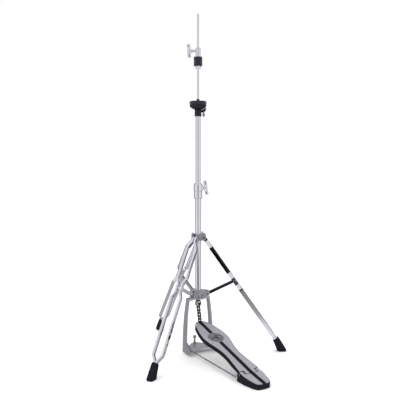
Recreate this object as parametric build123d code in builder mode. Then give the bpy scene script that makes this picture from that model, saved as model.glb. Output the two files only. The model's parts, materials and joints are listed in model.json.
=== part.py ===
from build123d import *
import os
from math import atan2, cos, hypot, radians, sin, tan

# Hi-hat stand: a tripod with a telescoping column, a foot pedal that pulls a rod through the
# column by a roller chain, a cymbal seat on the column and a clutch on the rod.
# Millimetres, +Z up, floor at z = 0. The heel of the pedal points along -Y, +X is the right side.

os.makedirs("parts", exist_ok=True)

# Footprint: distances from the column's axis
heel_end = -354.0
foot_reach = 286.5
column_y = -(heel_end + foot_reach) / 2  # puts the origin under the middle of the footprint

# Column
lower_tube_r = 9.525
upper_tube_r = 7.95
tube_wall = 1.2
rod_r = 3.0
rod_top = 1080.0
running_gap = 0.06  # radial clearance of a shaft in its bore
snug_gap = 0.02  # radial clearance of a part that is clamped or pressed in place
lower_tube_span = (178.5, 519.0)
upper_tube_span = (455.0, 783.0)

# Tripod: distances from the column axis and heights, in the upright plane of each leg
leg_azimuths = {"front_right": -30.0, "front_left": -150.0, "rear": 90.0}
collar_pivot = (19.0, 372.0)
hub_pivot = (29.0, 190.0)
foot_top = (251.0, 41.0)
leg_length = hypot(foot_top[0] - collar_pivot[0], collar_pivot[1] - foot_top[1])
leg_angle = atan2(foot_top[0] - collar_pivot[0], collar_pivot[1] - foot_top[1])
joint_reach = 171.3  # from the collar pivot down the leg to the strut's joint
rivet_r = 3.0
strip_width = 12.0
strip_depth = 6.0
strip_web = 1.4
loop_offset = 16.0  # centre line of a strip from the leg's middle, along a loop
eye_offset = 4.2
waist_offset = 8.0
toe_offset = 3.3
strip_bend = 14.0
strip_end = leg_length + 22.0
strut_height = 9.2
strut_half_width = 4.2

# Pedal: lengths along Y count from the column
board_slope = radians(14.56)
board_seam = (-295.0, 26.0)
board_length = 298.0
board_tongue = 18.0
tongue_half_width = 20.0
board_thickness = 12.5
board_heel_thickness = 7.0
hinge_pin = (-281.0, 20.5)
hinge_pin_r = 2.5
toe_notch_half_width = 7.5
tongue_gap = 2.6
heel_half_width = 33.5

# Roller chain
pitch = 9.525
chain_links = 6
chain_tilt = radians(12.5)
chain_top = (0.0, 155.0)
chain_pin_r = 1.79
plate_height = 8.6
plate_thickness = 1.25
inner_plate_x = 2.385
outer_plate_x = 3.735
roller_r = 3.0

column_axis = Axis((0, column_y, 0), (0, 0, 1))


def level(height):
    """Horizontal plane with its origin on the column axis."""
    return Plane(origin=(0, column_y, height))


def outward(azimuth):
    """Unit vector pointing away from the column."""
    return Vector(cos(radians(azimuth)), sin(radians(azimuth)), 0)


def upright(azimuth, x=0.0, y=column_y):
    """Upright plane through a vertical axis: local x outward along the azimuth, local y up."""
    side = Vector(sin(radians(azimuth)), -cos(radians(azimuth)), 0)
    return Plane(origin=(x, y, 0), x_dir=outward(azimuth), z_dir=side)


def side_plane(offset=0.0):
    """Upright plane along the pedal: local x forward from the column, local y up."""
    return Plane(origin=(offset, column_y, 0), x_dir=(0, 1, 0), z_dir=(1, 0, 0))


def board_plane(offset=0.0):
    """Plane of the footboard's top: local x from the seam towards the toe, local y to the left."""
    slope = (0, cos(board_slope), sin(board_slope))
    normal = Vector(0, -sin(board_slope), cos(board_slope))
    origin = Vector(0, column_y + board_seam[0], board_seam[1]) + normal * offset
    return Plane(origin=origin, x_dir=slope, z_dir=normal)


def leg_direction(azimuth):
    """Unit vector down the leg."""
    return outward(azimuth) * sin(leg_angle) + Vector(0, 0, -cos(leg_angle))


def leg_origin(azimuth):
    """Point on the leg's pivot at the collar."""
    return Vector(0, column_y, collar_pivot[1]) + outward(azimuth) * collar_pivot[0]


def leg_plan(azimuth):
    """Plane across the leg: local x down the leg, local y sideways."""
    sideways = outward(azimuth + 90)
    normal = leg_direction(azimuth).cross(sideways)
    return Plane(origin=leg_origin(azimuth), x_dir=leg_direction(azimuth), z_dir=normal)


def leg_side(azimuth):
    """Upright plane of the leg: local x down the leg."""
    sideways = outward(azimuth + 90)
    return Plane(origin=leg_origin(azimuth), x_dir=leg_direction(azimuth), z_dir=sideways)


def write(piece, name):
    """Label a finished piece and write it as one STEP file."""
    piece.part.label = name
    export_step(piece.part, f"parts/{name}.step")


def half_section(outline, x=0.0, y=column_y):
    """Face to turn about a vertical axis; the outline is a list of (radius, height)."""
    with BuildSketch(upright(0, x, y)) as section:
        with BuildLine():
            Polyline(*outline, close=True)
        make_face()
    return section.sketch


def tube_outline(outer, inner, bottom, top):
    """Half section of a plain tube."""
    return [(inner, bottom), (outer, bottom), (outer, top), (inner, top)]


def cross_pins(places, radius, head_radius, half_length, head):
    """Rivets lying across upright planes: each place is (azimuth, distance, height)."""
    with BuildPart() as pins:
        for azimuth, distance, height in places:
            for side in (1, -1):
                facing = outward(azimuth + 90) * side
                foot = Vector(0, column_y, height) + outward(azimuth) * distance
                with BuildSketch(Plane(origin=foot, z_dir=facing)):
                    Circle(radius)
                extrude(amount=half_length)
                with BuildSketch(Plane(origin=foot + facing * half_length, z_dir=facing)):
                    Circle(head_radius)
                extrude(amount=head, taper=25)
    return pins


def wing_bolt(azimuth, height, tip, neck, wing, lobe, lean):
    """Cast wing bolt on a horizontal axis that points away from the column.

    tip, neck and wing are distances from the column: the shank's end, the start of the cone and
    the middle of the wings. lobe is the wings' reach and lean shifts the two lobes apart.
    """
    bolt_axis = Axis((0, column_y, height), tuple(outward(azimuth)))
    half = 5.4
    with BuildPart() as bolt:
        with BuildSketch(upright(azimuth)):
            with BuildLine():
                Polyline(
                    (wing + lean + half, height + lobe),
                    (wing + lean - half, height + lobe),
                    (wing + lean - half + 1.5, height + 0.36 * lobe),
                    (wing - half - 3, height + 3),
                    (wing - half - 3, height - 3),
                    (wing - lean - half + 1.5, height - 0.36 * lobe),
                    (wing - lean - half, height - lobe),
                    (wing - lean + half, height - lobe),
                    (wing + half - 2, height),
                    close=True,
                )
            make_face()
            fillet(vertices().group_by(Axis.Y)[0], 4.4)
            fillet(vertices().group_by(Axis.Y)[-1], 4.4)
        extrude(amount=1.9, both=True)
        with BuildSketch(upright(azimuth)):
            with BuildLine():
                Polyline(
                    (tip, height),
                    (tip, height + rod_r),
                    (neck, height + rod_r),
                    (wing - half, height + 5.4),
                    (wing + half - 2.5, height + 5.4),
                    (wing + half - 0.8, height + 3.6),
                    (wing + half - 0.8, height),
                    close=True,
                )
            make_face()
        revolve(axis=bolt_axis)
    return bolt


# ---- Column -------------------------------------------------------------------------------

bottom, top = lower_tube_span
with BuildPart() as lower_tube:
    wall = tube_outline(lower_tube_r, lower_tube_r - tube_wall, bottom, top)
    revolve(half_section(wall), axis=column_axis)
write(lower_tube, "lower_tube")

bottom, top = upper_tube_span
with BuildPart() as upper_tube:
    wall = tube_outline(upper_tube_r, upper_tube_r - tube_wall, bottom, top)
    revolve(half_section(wall), axis=column_axis)
write(upper_tube, "upper_tube")

# Height clamp: a sleeve over the lower tube, a collar round the nylon bushing and a bolt boss
clamp_azimuth = -30.0
clamp_bolt_z = 532.0
clamp_r = 14.0
bushing_r = 10.4
bushing_bore = upper_tube_r + running_gap
clamp_outline = [
    (lower_tube_r + snug_gap, 497.0),
    (lower_tube_r + 1.2, 497.0),
    (13.2, 500.0),
    (12.8, 519.0),
    (clamp_r - 1.2, 520.0),
    (clamp_r, 521.5),
    (clamp_r, 543.5),
    (clamp_r - 1.5, 545.5),
    (bushing_r + snug_gap, 545.5),
    (bushing_r + snug_gap, 519.5),
    (lower_tube_r + snug_gap, 519.5),
]
with BuildPart() as height_clamp:
    revolve(half_section(clamp_outline), axis=column_axis)
    boss_plane = Plane(
        origin=Vector(0, column_y, clamp_bolt_z) + outward(clamp_azimuth) * 12.2,
        z_dir=outward(clamp_azimuth),
    )
    with BuildSketch(boss_plane):
        Circle(7.0)
    extrude(amount=4.2, taper=6)
    with BuildSketch(boss_plane.offset(-2)):
        Circle(rod_r + running_gap)
    extrude(amount=9.0, mode=Mode.SUBTRACT)
    # split in the collar, on the side away from the bolt
    with BuildSketch(upright(clamp_azimuth + 180)):
        with Locations((clamp_r, 534.0)):
            Rectangle(8.0, 24.0)
    extrude(amount=0.8, both=True, mode=Mode.SUBTRACT)
write(height_clamp, "height_clamp")

bushing_outline = [
    (bushing_bore, 520.0),
    (bushing_r, 520.0),
    (bushing_r, 545.3),
    (bushing_bore, 545.3),
]
with BuildPart() as clamp_bushing:
    revolve(half_section(bushing_outline), axis=column_axis)
write(clamp_bushing, "clamp_bushing")

height_wing_bolt = wing_bolt(clamp_azimuth, clamp_bolt_z, 11.0, 16.8, 25.5, 23.0, -3.2)
write(height_wing_bolt, "height_wing_bolt")

# ---- Pull rod, spring and chain connector -------------------------------------------------

coupling_z = 420.0
rod_lower_bottom = 163.0
spring_bottom = 204.0
spring_top = 320.0

with BuildPart() as pull_rod:
    with BuildSketch(level(coupling_z)):
        Circle(rod_r)
    extrude(amount=rod_top - coupling_z)
    chamfer(pull_rod.edges().group_by(Axis.Z)[-1], 0.8)
write(pull_rod, "pull_rod")

with BuildPart() as lower_rod:
    with BuildSketch(level(rod_lower_bottom)):
        Circle(rod_r)
    extrude(amount=coupling_z - 0.2 - rod_lower_bottom)
write(lower_rod, "lower_rod")

with BuildPart() as rod_coupling:
    with BuildSketch(level(coupling_z - 15)):
        RegularPolygon(5.0, 6)
        Circle(rod_r + snug_gap, mode=Mode.SUBTRACT)
    extrude(amount=30)
write(rod_coupling, "rod_coupling")

spring_collar_outline = [
    (rod_r + snug_gap, spring_top + 0.2),
    (7.9, spring_top + 0.2),
    (7.9, spring_top + 3.0),
    (4.6, spring_top + 4.0),
    (4.6, spring_top + 9.0),
    (rod_r + snug_gap, spring_top + 9.0),
]
with BuildPart() as spring_collar:
    revolve(half_section(spring_collar_outline), axis=column_axis)
write(spring_collar, "spring_collar")

coil_r = 6.1
wire_r = 0.9
coil_count = 12
coil_bottom = spring_bottom + wire_r + 0.2
coil_top = spring_top - wire_r - 0.2
coil_line = Helix(
    pitch=(coil_top - coil_bottom) / coil_count,
    height=coil_top - coil_bottom,
    radius=coil_r,
    center=(0, column_y, coil_bottom),
)
with BuildPart() as return_spring:
    with BuildLine():
        add(coil_line)
    with BuildSketch(Plane(origin=coil_line @ 0, z_dir=coil_line % 0)):
        Circle(wire_r)
    sweep()
write(return_spring, "return_spring")

spring_seat_outline = [
    (rod_r + running_gap, spring_bottom - 8.0),
    (8.2, spring_bottom - 8.0),
    (8.2, spring_bottom),
    (rod_r + running_gap, spring_bottom),
]
with BuildPart() as spring_seat:
    revolve(half_section(spring_seat_outline), axis=column_axis)
write(spring_seat, "spring_seat")

rod_bush_outline = [
    (rod_r + running_gap, 171.8),
    (7.0, 171.8),
    (7.0, 178.2),
    (rod_r + running_gap, 178.2),
]
with BuildPart() as rod_bush:
    revolve(half_section(rod_bush_outline), axis=column_axis)
write(rod_bush, "rod_bush")

lock_nut_outline = [
    (rod_r + snug_gap, 167.6),
    (6.2, 167.6),
    (6.4, 168.4),
    (6.4, 170.6),
    (5.6, 171.2),
    (rod_r + snug_gap, 171.2),
]
with BuildPart() as rod_lock_nut:
    revolve(half_section(lock_nut_outline), axis=column_axis)
write(rod_lock_nut, "rod_lock_nut")

# Connector: a nickel knob with a slot in its front that the chain's top link hangs in
knob_r = 10.4
knob_outline = [
    (0.0, 149.2),
    (6.6, 149.2),
    (8.6, 151.0),
    (knob_r - 0.5, 153.8),
    (knob_r, 157.0),
    (knob_r, 160.6),
    (knob_r - 0.6, 163.4),
    (8.4, 166.2),
    (6.6, 167.4),
    (0.0, 167.4),
]
with BuildPart() as chain_connector:
    revolve(half_section(knob_outline), axis=column_axis)
    with BuildSketch(level(163.0)):
        Circle(rod_r + snug_gap)
    extrude(amount=6, mode=Mode.SUBTRACT)
    with BuildSketch(side_plane()):
        with BuildLine():
            Polyline((-12, 148), (5.2, 148), (5.2, 158), (2.0, 161.4), (-12, 161.4), close=True)
        make_face()
    extrude(amount=outer_plate_x + plate_thickness + 1.1, both=True, mode=Mode.SUBTRACT)
    with BuildSketch(side_plane()):
        with Locations(chain_top):
            Circle(chain_pin_r + snug_gap)
    extrude(amount=knob_r, both=True, mode=Mode.SUBTRACT)
write(chain_connector, "chain_connector")

with BuildPart() as chain_top_pin:
    with BuildSketch(side_plane()):
        with Locations(chain_top):
            Circle(chain_pin_r)
    extrude(amount=knob_r - 0.9, both=True)
write(chain_top_pin, "chain_top_pin")

# ---- Roller chain -------------------------------------------------------------------------


def chain_plane(offset=0.0):
    """Plane along the chain's links: local x down the chain, origin on the top pin."""
    down = (0, -sin(chain_tilt), -cos(chain_tilt))
    origin = (offset, column_y + chain_top[0], chain_top[1])
    return Plane(origin=origin, x_dir=down, z_dir=(1, 0, 0))


with BuildPart() as chain_plates:
    for link in range(chain_links):
        inner = link % 2 == 0
        gap_x = inner_plate_x if inner else outer_plate_x
        hole_r = chain_pin_r + (running_gap if inner else 0.01)
        middle = (link + 0.5) * pitch
        for offset in (gap_x, -gap_x - plate_thickness):
            with BuildSketch(chain_plane(offset)):
                with Locations((middle, 0)):
                    SlotCenterToCenter(pitch, plate_height)
                with Locations((middle, 9.2), (middle, -9.2)):
                    Circle(6.0, mode=Mode.SUBTRACT)
                with Locations((link * pitch, 0), ((link + 1) * pitch, 0)):
                    Circle(hole_r, mode=Mode.SUBTRACT)
            extrude(amount=plate_thickness)
write(chain_plates, "chain_plates")

with BuildPart() as chain_rollers:
    with BuildSketch(chain_plane()):
        with Locations([(link * pitch, 0) for link in range(chain_links)]):
            Circle(roller_r)
            Circle(chain_pin_r + running_gap, mode=Mode.SUBTRACT)
    extrude(amount=inner_plate_x - 0.1, both=True)
write(chain_rollers, "chain_rollers")

with BuildPart() as chain_pins:
    with BuildSketch(chain_plane()):
        with Locations([(link * pitch, 0) for link in range(1, chain_links + 1)]):
            Circle(chain_pin_r)
    extrude(amount=outer_plate_x + plate_thickness + 0.8, both=True)
write(chain_pins, "chain_pins")

# ---- Cymbal seat --------------------------------------------------------------------------

seat_azimuth = -30.0
tilt_screw_r = 18.0
seat_bore = upper_tube_r + snug_gap
seat_base_outline = [
    (seat_bore, 759.0),
    (10.9, 759.0),
    (11.1, 760.5),
    (10.6, 762.5),
    (10.6, 778.0),
    (11.6, 778.8),
    (9.4, 780.8),
    (9.4, 784.6),
    (5.4, 784.6),
    (5.4, 783.2),
    (seat_bore, 783.2),
]
with BuildPart() as seat_base:
    revolve(half_section(seat_base_outline), axis=column_axis)
    with BuildSketch(upright(seat_azimuth)):
        with BuildLine():
            Polyline((10.0, 771.5), (17.5, 771.5), (24.3, 776.5), (25.6, 786.0), (25.2, 787.6),
                     (20.0, 783.4), (13.0, 780.2), (10.0, 778.6), close=True)
        make_face()
    extrude(amount=4.5, both=True)
    screw_foot = Vector(0, column_y, 765) + outward(seat_azimuth) * tilt_screw_r
    with BuildSketch(Plane(origin=screw_foot)):
        Circle(2.0 + running_gap)
    extrude(amount=25, mode=Mode.SUBTRACT)
write(seat_base, "seat_base")

cup_hole_r = 7.9
seat_cup_outline = [
    (10.6, 785.6),
    (13.0, 781.0),
    (20.0, 784.4),
    (25.4, 789.0),
    (26.4, 792.0),
    (26.6, 794.0),
    (25.2, 794.0),
    (24.4, 791.8),
    (cup_hole_r, 791.8),
    (cup_hole_r, 787.4),
    (10.6, 786.2),
]
with BuildPart() as seat_cup:
    revolve(half_section(seat_cup_outline), axis=column_axis)
write(seat_cup, "seat_cup")

seat_top = 807.4
seat_felt_outline = [
    (cup_hole_r, 792.0),
    (24.2, 792.0),
    (25.0, 794.2),
    (26.6, 794.2),
    (27.2, 803.0),
    (26.6, 804.4),
    (22.0, seat_top),
    (cup_hole_r, seat_top),
]
with BuildPart() as seat_felt:
    revolve(half_section(seat_felt_outline), axis=column_axis)
write(seat_felt, "seat_felt")

seat_cone_outline = [
    (rod_r + running_gap, 784.8),
    (5.2, 784.8),
    (5.2, 807.6),
    (5.6, 808.4),
    (4.0, 813.0),
    (3.7, 814.0),
    (rod_r + running_gap, 814.0),
]
with BuildPart() as seat_cone:
    revolve(half_section(seat_cone_outline), axis=column_axis)
write(seat_cone, "seat_cone")

screw_x = outward(seat_azimuth).X * tilt_screw_r
screw_y = column_y + outward(seat_azimuth).Y * tilt_screw_r
tilt_screw_outline = [
    (0.0, 757.0),
    (1.8, 757.4),
    (3.4, 760.0),
    (2.4, 762.4),
    (2.0, 766.0),
    (2.0, 781.2),
    (0.0, 782.8),
]
with BuildPart() as tilt_screw:
    screw_axis = Axis((screw_x, screw_y, 0), (0, 0, 1))
    revolve(half_section(tilt_screw_outline, screw_x, screw_y), axis=screw_axis)
    with BuildSketch(upright(seat_azimuth, screw_x, screw_y)):
        with BuildLine():
            Polyline((-4.9, 765.4), (-1.5, 768.8), (1.5, 768.8), (4.9, 765.4), (1.8, 759.4),
                     (-1.8, 759.4), close=True)
        make_face()
        fillet(vertices(), 0.7)
    extrude(amount=1.1, both=True)
write(tilt_screw, "tilt_screw")

# ---- Clutch -------------------------------------------------------------------------------

clutch_azimuth = 150.0
clutch_bolt_z = 965.0
clutch_bore = rod_r + running_gap
sleeve_r = 5.4
clutch_outline = [
    (clutch_bore, 909.0),
    (sleeve_r, 909.0),
    (sleeve_r, 946.2),
    (7.3, 946.2),
    (7.6, 946.8),
    (7.6, 972.6),
    (6.4, 974.0),
    (clutch_bore, 974.0),
]
with BuildPart() as clutch_body:
    revolve(half_section(clutch_outline), axis=column_axis)
    hole_foot = Vector(0, column_y, clutch_bolt_z) + outward(clutch_azimuth) * 2
    with BuildSketch(Plane(origin=hole_foot, z_dir=outward(clutch_azimuth))):
        Circle(rod_r + running_gap)
    extrude(amount=8, mode=Mode.SUBTRACT)
write(clutch_body, "clutch_body")

felt_r = 13.25
with BuildPart() as clutch_felts:
    for low, high in ((931.3, 946.0), (917.0, 930.9)):
        revolve(half_section(tube_outline(felt_r, sleeve_r + snug_gap, low, high)), axis=column_axis)
    fillet(clutch_felts.edges().filter_by(GeomType.CIRCLE).group_by(SortBy.RADIUS)[-1], 1.6)
write(clutch_felts, "clutch_felts")

clutch_nut_outline = [
    (sleeve_r + snug_gap, 910.5),
    (sleeve_r + snug_gap, 916.8),
    (8.6, 916.8),
    (8.6, 914.4),
    (6.6, 909.6),
    (6.1, 908.0),
    (rod_r + 0.5, 908.0),
    (rod_r + 0.5, 908.8),
    (sleeve_r + snug_gap, 908.8),
]
with BuildPart() as clutch_nut:
    revolve(half_section(clutch_nut_outline), axis=column_axis)
write(clutch_nut, "clutch_nut")

clutch_wing_bolt = wing_bolt(clutch_azimuth, clutch_bolt_z, 3.6, 8.4, 29.0, 21.4, 1.7)
write(clutch_wing_bolt, "clutch_wing_bolt")

# ---- Tripod collar, hub and legs ----------------------------------------------------------

collar_r = 12.4
collar_bolt_azimuth = 30.0
collar_bolt_z = 375.0
ear_gap = 7.6
ear_thickness = 2.8
with BuildPart() as tripod_collar:
    with BuildSketch(level(363.0)):
        Circle(collar_r)
    extrude(amount=21.0)
    for azimuth in leg_azimuths.values():
        for side in (1, -1):
            near = Vector(0, column_y, 0) + outward(azimuth + 90) * (ear_gap * side)
            ear_plane = Plane(origin=near, x_dir=outward(azimuth), z_dir=-outward(azimuth + 90))
            with BuildSketch(ear_plane):
                with BuildLine():
                    Polyline((7.0, 363.0), (21.0, 363.0), (25.4, 368.0), (25.4, 379.0), (22.0, 385.6),
                             (16.0, 385.6), (12.0, 384.0), (7.0, 384.0), close=True)
                make_face()
                fillet(vertices().group_by(Axis.X)[-1], 2.0)
            extrude(amount=-ear_thickness * side)
    boss_foot = Vector(0, column_y, collar_bolt_z) + outward(collar_bolt_azimuth) * 10
    with BuildSketch(Plane(origin=boss_foot, z_dir=outward(collar_bolt_azimuth))):
        Circle(6.5)
    extrude(amount=6.0)
    with BuildSketch(Plane(origin=boss_foot, z_dir=outward(collar_bolt_azimuth))):
        Circle(rod_r + running_gap)
    extrude(amount=12.0, mode=Mode.SUBTRACT)
    with BuildSketch(level(360.0)):
        Circle(lower_tube_r + 0.08)
    extrude(amount=30.0, mode=Mode.SUBTRACT)
    for azimuth in leg_azimuths.values():
        with BuildSketch(upright(azimuth)):
            with Locations(collar_pivot):
                Circle(rivet_r + snug_gap)
        extrude(amount=20, both=True, mode=Mode.SUBTRACT)
write(tripod_collar, "tripod_collar")

collar_wing_bolt = wing_bolt(collar_bolt_azimuth, collar_bolt_z, 10.4, 16.6, 27.0, 13.6, 0.6)
write(collar_wing_bolt, "collar_wing_bolt")

collar_rivet_places = [(azimuth, *collar_pivot) for azimuth in leg_azimuths.values()]
collar_rivets = cross_pins(collar_rivet_places, rivet_r, 4.4, ear_gap + ear_thickness, 1.5)
write(collar_rivets, "collar_rivets")

# Hub: a ribbed casting that holds the column, three pairs of ears and a flange for the frame
hub_r = 13.6
hub_ear_gap = 4.9
hub_ear_outer = 8.4
flange_z = (178.8, 184.0)
frame_top = flange_z[0] - 0.1
frame_bar = 6.0
with BuildPart() as tripod_hub:
    with BuildSketch(level(171.5)):
        Circle(11.8)
    extrude(amount=31.0)
    with BuildSketch(level(flange_z[0])):
        Circle(hub_r)
        with PolarLocations(hub_r + 0.5, 14):
            Circle(1.7, mode=Mode.SUBTRACT)
    extrude(amount=202.5 - flange_z[0])
    with BuildSketch(level(flange_z[0])):
        SlotOverall(62.0, 17.0)
    extrude(amount=flange_z[1] - flange_z[0])
    for azimuth in leg_azimuths.values():
        with BuildSketch(upright(azimuth)):
            with BuildLine():
                Polyline((6.0, 202.5), (15.0, 202.5), (34.0, 199.6), (37.0, 196.0), (37.0, 187.0),
                         (34.0, 183.0), (16.0, 178.8), (6.0, 178.8), close=True)
            make_face()
            fillet(vertices().group_by(Axis.X)[-1], 1.8)
        extrude(amount=hub_ear_outer, both=True)
        with BuildSketch(upright(azimuth)):
            with Locations((32.0, 192.0)):
                Rectangle(21.0, 32.0)
        extrude(amount=hub_ear_gap, both=True, mode=Mode.SUBTRACT)
        with BuildSketch(upright(azimuth)):
            with Locations(hub_pivot):
                Circle(rivet_r + snug_gap)
        extrude(amount=20, both=True, mode=Mode.SUBTRACT)
    with BuildSketch(level(178.5)):
        Circle(lower_tube_r + snug_gap)
    extrude(amount=30.0, mode=Mode.SUBTRACT)
    with BuildSketch(level(171.5)):
        Circle(7.0 + snug_gap)
    extrude(amount=7.0, mode=Mode.SUBTRACT)
    frame_screw_holes = Plane(origin=(0, column_y, flange_z[0] - 0.5))
    with BuildSketch(frame_screw_holes):
        with Locations((24.0, 0), (-24.0, 0)):
            Circle(2.5 + snug_gap)
    extrude(amount=6.0, mode=Mode.SUBTRACT)
write(tripod_hub, "tripod_hub")

hub_rivet_places = [(azimuth, *hub_pivot) for azimuth in leg_azimuths.values()]
hub_rivets = cross_pins(hub_rivet_places, rivet_r, 4.2, hub_ear_outer, 1.4)
write(hub_rivets, "hub_rivets")


def strip_route(shift):
    """Centre line of one strip of a leg, moved sideways by shift: (down the leg, sideways)."""
    return [
        (-8.0, eye_offset + shift),
        (14.0, eye_offset + shift),
        (37.0, loop_offset + shift),
        (140.0, loop_offset + shift),
        (157.0, waist_offset + shift),
        (186.0, waist_offset + shift),
        (203.0, loop_offset + shift),
        (381.0, loop_offset + shift),
        (400.0, toe_offset + shift),
        (strip_end, toe_offset + shift),
    ]


def leg(azimuth):
    """Pair of channel strips, mirror images of each other, with a rivet stub in each waist."""
    joint = leg_origin(azimuth) + leg_direction(azimuth) * joint_reach
    inner_face = waist_offset - strip_depth / 2
    pocket = strip_depth - strip_web + 0.4
    with BuildPart() as strips:
        with BuildSketch(leg_plan(azimuth)):
            with BuildLine():
                FilletPolyline(*strip_route(0.0), radius=strip_bend)
            trace(line_width=strip_depth)
            mirror(about=Plane.XZ)
        extrude(amount=strip_width / 2, both=True)
        for start, end in ((16.0, 146.0), (197.0, 392.0)):
            with BuildSketch(leg_plan(azimuth)):
                with BuildLine():
                    FilletPolyline(*strip_route(-strip_web / 2 - 0.2), radius=strip_bend)
                trace(line_width=pocket)
                with Locations(((start + end) / 2, 0)):
                    Rectangle(end - start, 60, mode=Mode.INTERSECT)
                mirror(about=Plane.XZ)
            extrude(amount=strip_width / 2 - strip_web, both=True, mode=Mode.SUBTRACT)
        with BuildSketch(leg_side(azimuth)):
            with Locations((strip_end / 2, 0)):
                SlotCenterToCenter(strip_end, strip_width)
        extrude(amount=30, both=True, mode=Mode.INTERSECT)
        with BuildSketch(leg_side(azimuth)):
            Circle(rivet_r + running_gap)
            with Locations((joint_reach, 0)):
                Circle(rivet_r + snug_gap)
        extrude(amount=30, both=True, mode=Mode.SUBTRACT)
        for side in (1, -1):
            facing = outward(azimuth + 90) * side
            with BuildSketch(Plane(origin=joint + facing * inner_face, z_dir=facing)):
                Circle(rivet_r)
            extrude(amount=strip_depth + 0.03)
            outer_face = joint + facing * (inner_face + strip_depth + 0.02)
            with BuildSketch(Plane(origin=outer_face, z_dir=facing)):
                Circle(4.4)
            extrude(amount=1.4, taper=25)
    return strips


def strut(azimuth):
    """Channel bar from the hub's ears to the waist of the leg."""
    joint = leg_origin(azimuth) + leg_direction(azimuth) * joint_reach
    pivot = Vector(0, column_y, hub_pivot[1]) + outward(azimuth) * hub_pivot[0]
    along = joint - pivot
    bar_plane = Plane(origin=pivot, x_dir=along, z_dir=outward(azimuth + 90))
    up = 1 if bar_plane.y_dir.Z > 0 else -1
    with BuildPart() as bar:
        with BuildSketch(bar_plane):
            with Locations((along.length / 2, 0)):
                SlotCenterToCenter(along.length, strut_height)
        extrude(amount=strut_half_width, both=True)
        with BuildSketch(bar_plane):
            with Locations((along.length / 2, -1.3 * up)):
                Rectangle(along.length - 16, strut_height)
        extrude(amount=strut_half_width - 1.3, both=True, mode=Mode.SUBTRACT)
        with BuildSketch(bar_plane):
            with Locations((0, 0)):
                Circle(rivet_r + running_gap)
            with Locations((along.length, 0)):
                Circle(rivet_r + 0.2)
        extrude(amount=10, both=True, mode=Mode.SUBTRACT)
    return bar


def rubber_foot(azimuth):
    """Hoof-shaped rubber foot, flat on the floor, with a socket for the strips."""
    half_width = 11.5
    with BuildPart() as foot:
        with BuildSketch(upright(azimuth)):
            with BuildLine():
                Polyline((243.6, 36.0), (259.6, 47.2), (275.0, 24.0), (foot_reach, 3.0),
                         (foot_reach - 1.5, 0.0), (259.5, 0.0), (256.0, 4.0), close=True)
            make_face()
            fillet(vertices().group_by(Axis.Y)[2:-1], 2.0)
        extrude(amount=half_width, both=True)
        with BuildSketch(leg_plan(azimuth)):
            with BuildLine():
                Polyline((leg_length - 14, 8.2), (leg_length + 6, 9.4), (leg_length + 70, half_width),
                         (leg_length + 70, -half_width), (leg_length + 6, -9.4), (leg_length - 14, -8.2),
                         close=True)
            make_face()
        extrude(amount=60, both=True, mode=Mode.INTERSECT)
        with BuildSketch(leg_side(azimuth)):
            with Locations((strip_end / 2, 0)):
                SlotCenterToCenter(strip_end + 0.2, strip_width + 0.2)
        extrude(amount=toe_offset + strip_depth / 2 + 0.1, both=True, mode=Mode.SUBTRACT)
    return foot


for name, azimuth in leg_azimuths.items():
    write(leg(azimuth), f"leg_{name}")
    write(strut(azimuth), f"strut_{name}")
    write(rubber_foot(azimuth), f"foot_{name}")

with BuildPart() as hub_screws:
    facing = outward(leg_azimuths["front_right"] - 90)
    screw_start = Vector(0, column_y, 186.0) + outward(leg_azimuths["front_right"]) * 13.8
    with BuildSketch(Plane(origin=screw_start + facing * (hub_ear_outer + 0.02), z_dir=facing)):
        Circle(2.8)
        RegularPolygon(1.4, 6, mode=Mode.SUBTRACT)
    extrude(amount=1.6)
    for x in (24.0, -24.0):
        with BuildSketch(Plane(origin=(x, column_y, frame_top - frame_bar - 3.2))):
            Circle(4.2)
        extrude(amount=3.2)
        with BuildSketch(Plane(origin=(x, column_y, frame_top - frame_bar))):
            Circle(2.5)
        extrude(amount=frame_bar + 4.5)
write(hub_screws, "hub_screws")

# ---- Pedal frame --------------------------------------------------------------------------

arm_thickness = 4.8
arm_foot_x = 52.0
frame_pin_places = ((-20.0, 12.0), (-36.5, 14.5))
frame_pin_r = 2.5
with BuildPart() as pedal_frame:
    with BuildSketch(upright(0)):
        with BuildLine():
            outer = Spline((arm_foot_x, 4.5), (arm_foot_x - 0.7, 50.0), (46.0, 130.0), (40.2, 174.6),
                           tangents=((0, 1), (-0.14, 1)))
            RadiusArc(outer @ 1, (36.0, frame_top), -4.2)
            Polyline((36.0, frame_top), (0, frame_top), (0, frame_top - frame_bar),
                     (34.0, frame_top - frame_bar), (35.8, 170.0))
            Spline((35.8, 170.0), (41.2, 130.0), (arm_foot_x - 0.7 - arm_thickness, 50.0),
                   (arm_foot_x - arm_thickness, 4.5), tangents=((0.14, -1), (0, -1)))
            Line((arm_foot_x - arm_thickness, 4.5), (arm_foot_x, 4.5))
        make_face()
        mirror(about=Plane.YZ)
    extrude(amount=60, both=True)
    with BuildSketch(side_plane()):
        with BuildLine():
            Polyline((-8.0, frame_top), (8.0, frame_top), (10.0, 100.0), (10.0, 4.5), (-31.0, 4.5),
                     (-42.0, 10.0), (-42.0, 17.0), (-34.0, 24.0), (-11.0, 40.0), (-9.0, 100.0), close=True)
        make_face()
    extrude(amount=60, both=True, mode=Mode.INTERSECT)
    with BuildSketch(level(frame_top - frame_bar)):
        Circle(17.5)
    extrude(amount=frame_bar)
    with BuildSketch(level(frame_top - frame_bar - 1)):
        Circle(11.9)
        with Locations((24.0, 0), (-24.0, 0)):
            Circle(2.5 + snug_gap)
    extrude(amount=frame_bar + 2, mode=Mode.SUBTRACT)
    with BuildSketch(side_plane()):
        with Locations(*frame_pin_places):
            Circle(frame_pin_r + snug_gap)
    extrude(amount=60, both=True, mode=Mode.SUBTRACT)
write(pedal_frame, "pedal_frame")

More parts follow.
